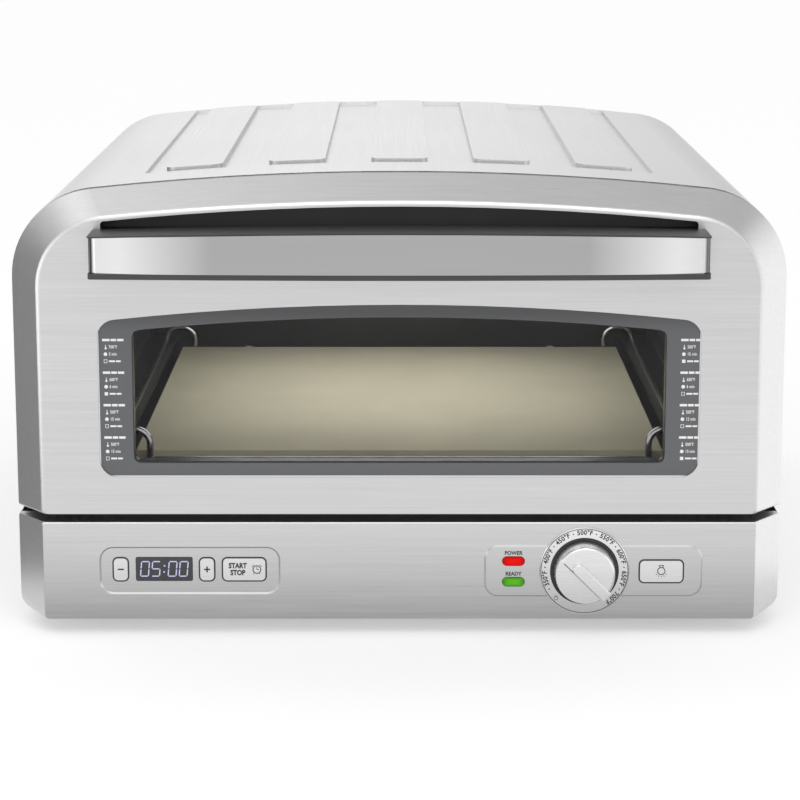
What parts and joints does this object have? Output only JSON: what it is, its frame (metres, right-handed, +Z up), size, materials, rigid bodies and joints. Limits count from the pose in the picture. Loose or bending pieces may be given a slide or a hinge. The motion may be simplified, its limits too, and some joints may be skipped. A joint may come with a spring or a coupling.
{
  "type": "countertop pizza oven",
  "caption": "Countertop pizza oven with an arched brushed-steel housing, drop-down window door, sliding rack with stone, push keys and a temperature knob.",
  "frame": {"origin": "on the worktop under the middle of the bounding box, at the underside of the feet", "axes": "+X to the right of a person facing the oven, +Y to the back, +Z up"},
  "size_m": [0.438, 0.483, 0.265],
  "materials": {
    "brushed_steel": "fine horizontal brushing",
    "cover_steel": "fine satin, brushed front to back",
    "handle_steel": "smooth horizontal brushing",
    "key_metal": "satin",
    "dial_metal": "satin with printed scale",
    "knob_metal": "spun and polished",
    "galvanised": "plain zinc-coated sheet",
    "screw_steel": "zinc plated",
    "wire_chrome": "bright plated wire",
    "heater_sheath": "dark heat-stained sheath",
    "spacer_metal": "satin with a bright rolled edge",
    "chamber_enamel": "dark grey speckled enamel",
    "dark_trim": "matt",
    "grip_plastic": "fine grained",
    "rubber": "matt",
    "insulation_wool": "fibrous blanket",
    "ceramic": "unglazed",
    "lamp_glass": "frosted",
    "printed_glass": "clear in the middle with a dark grey printed border",
    "clear_glass": "clear",
    "display_glass": "dark tinted",
    "red_lens": "translucent, lit",
    "green_lens": "translucent, lit",
    "stone": "unglazed cordierite",
    "circuit_board": "solder mask",
    "relay_plastic": "moulded"
  },
  "bodies": {
    "chassis": {"back_panel": "galvanised", "base_fascia": "brushed_steel", "base_pan": "galvanised", "base_skirt": "brushed_steel", "board_posts": "dark_trim", "cavity_liner": "chamber_enamel", "control_board": "circuit_board", "cord_gland": "rubber", "deck": "dark_trim", "dial_ring": "dial_metal", "dial_well": "dark_trim", "display_module": "dark_trim", "display_window": "display_glass", "feet": "rubber", "foot_screws": "screw_steel", "front_frame": "chamber_enamel", "green_indicator": "green_lens", "heater_bushes": "ceramic", "heater_clips": "galvanised", "hinge_lugs": "galvanised", "insulation": "insulation_wool", "key_switches": "dark_trim", "lamp_bulb": "lamp_glass", "lamp_can": "galvanised", "lamp_lens": "lamp_glass", "lower_heater": "heater_sheath", "panel_screws": "screw_steel", "power_board": "circuit_board", "rack_rails": "chamber_enamel", "rear_spacers": "dark_trim", "red_indicator": "red_lens", "relays": "relay_plastic", "selector": "dark_trim", "temperature_probe": "wire_chrome", "terminal_block": "relay_plastic", "thermal_cutout": "ceramic", "top_cover": "cover_steel", "transformer": "relay_plastic", "upper_heater": "heater_sheath"},
    "door": {"door_shell": "brushed_steel", "grip_pocket": "grip_plastic", "handle_strip": "handle_steel", "handle_core": "grip_plastic", "handle_screws": "screw_steel", "outer_glass": "printed_glass", "glass_spacer": "spacer_metal", "inner_glass": "clear_glass", "door_inner_panel": "chamber_enamel", "door_screws": "screw_steel", "hinge_ears": "galvanised", "hinge_pins": "screw_steel"},
    "rack": {"wire_rack": "wire_chrome", "pizza_stone": "stone"},
    "dial": {"knob": "knob_metal", "knob_shaft": "galvanised"},
    "minus_key_body": {"minus_key": "key_metal"},
    "plus_key_body": {"plus_key": "key_metal"},
    "start_key_body": {"start_key": "key_metal"},
    "lamp_key_body": {"lamp_key": "key_metal"}
  },
  "joints": [
    {"name": "door_hinge", "type": "hinge", "parent": "chassis", "child": "door", "pos_m": [0, -0.204, 0.0789], "axis": [1, 0, 0], "range_deg": [0, 90]},
    {"name": "rack_slide", "type": "slide", "parent": "chassis", "child": "rack", "axis": [0, -1, 0], "range_m": [0, 0.027]},
    {"name": "knob_turn", "type": "hinge", "parent": "chassis", "child": "dial", "pos_m": [0.1054, -0.215, 0.0383], "axis": [0, -1, 0], "range_deg": [0, 270]},
    {"name": "minus_press", "type": "slide", "parent": "chassis", "child": "minus_key_body", "axis": [0, 1, 0], "range_m": [0, 0.0012], "stiffness_N_per_m": 300},
    {"name": "plus_press", "type": "slide", "parent": "chassis", "child": "plus_key_body", "axis": [0, 1, 0], "range_m": [0, 0.0012], "stiffness_N_per_m": 300},
    {"name": "start_press", "type": "slide", "parent": "chassis", "child": "start_key_body", "axis": [0, 1, 0], "range_m": [0, 0.0012], "stiffness_N_per_m": 300},
    {"name": "lamp_press", "type": "slide", "parent": "chassis", "child": "lamp_key_body", "axis": [0, 1, 0], "range_m": [0, 0.0012], "stiffness_N_per_m": 300}
  ],
  "couplings": [
    {"joint": "rack_slide", "follows": "door_hinge", "m_per_rad": 0.017}
  ]
}
